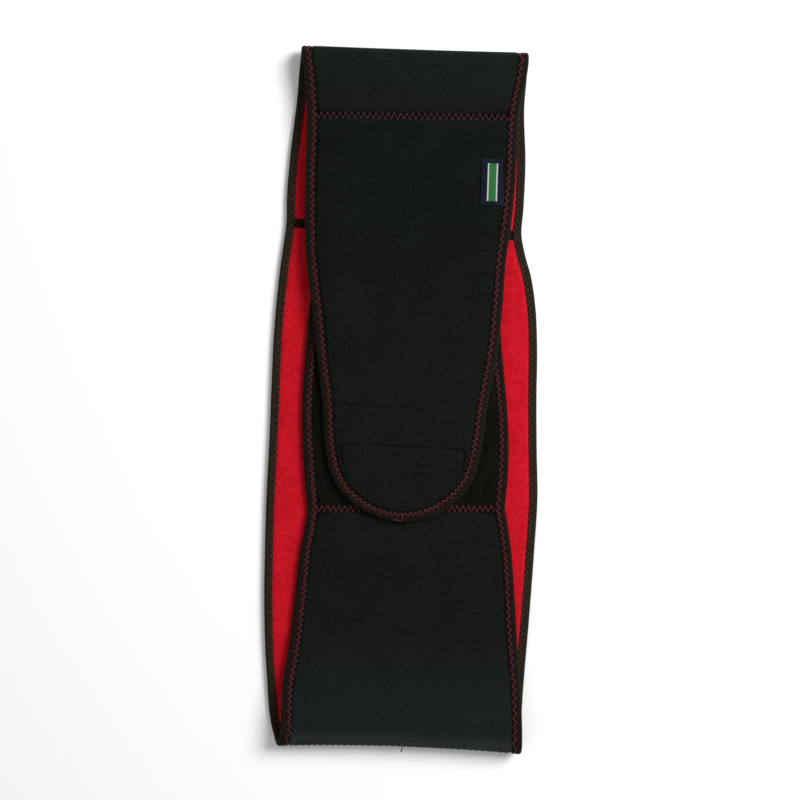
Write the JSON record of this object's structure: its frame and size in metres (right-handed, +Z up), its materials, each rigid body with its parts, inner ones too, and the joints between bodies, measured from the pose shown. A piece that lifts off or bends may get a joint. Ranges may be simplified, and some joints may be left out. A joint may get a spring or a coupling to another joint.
{
  "type": "medical support belt",
  "caption": "Wide foam back support belt with a red inner lining, closed by a hook and loop tongue and laid flat as a folded loop.",
  "frame": {"origin": "on the floor, below the middle of the laid belt", "axes": "+Z up; +Y along the laid belt, from the bottom fold to the top fold of the picture; +X across it, to the picture's right"},
  "size_m": [0.2, 0.515, 0.017],
  "materials": {
    "foam_fabric": "black knit over foam, matt",
    "loop_velour": "black brushed loop pile, very matt",
    "red_lining": "red brushed knit, matt",
    "binding_tape": "brownish black woven tape, matt",
    "hook_tape": "black hook tape",
    "label_weave": "navy woven ribbon"
  },
  "bodies": {
    "root": {"back_panel": "foam_fabric", "upper_side_panel": "foam_fabric", "lower_side_panel": "foam_fabric", "closure_tongue": "foam_fabric", "loop_panel": "loop_velour", "back_lining": "red_lining", "upper_side_lining": "red_lining", "lower_side_lining": "red_lining", "edge_binding": "binding_tape", "upper_seam_tape": "binding_tape", "lower_seam_tape": "binding_tape", "hook_patch": "hook_tape", "woven_label": "label_weave"}
  },
  "joints": []
}
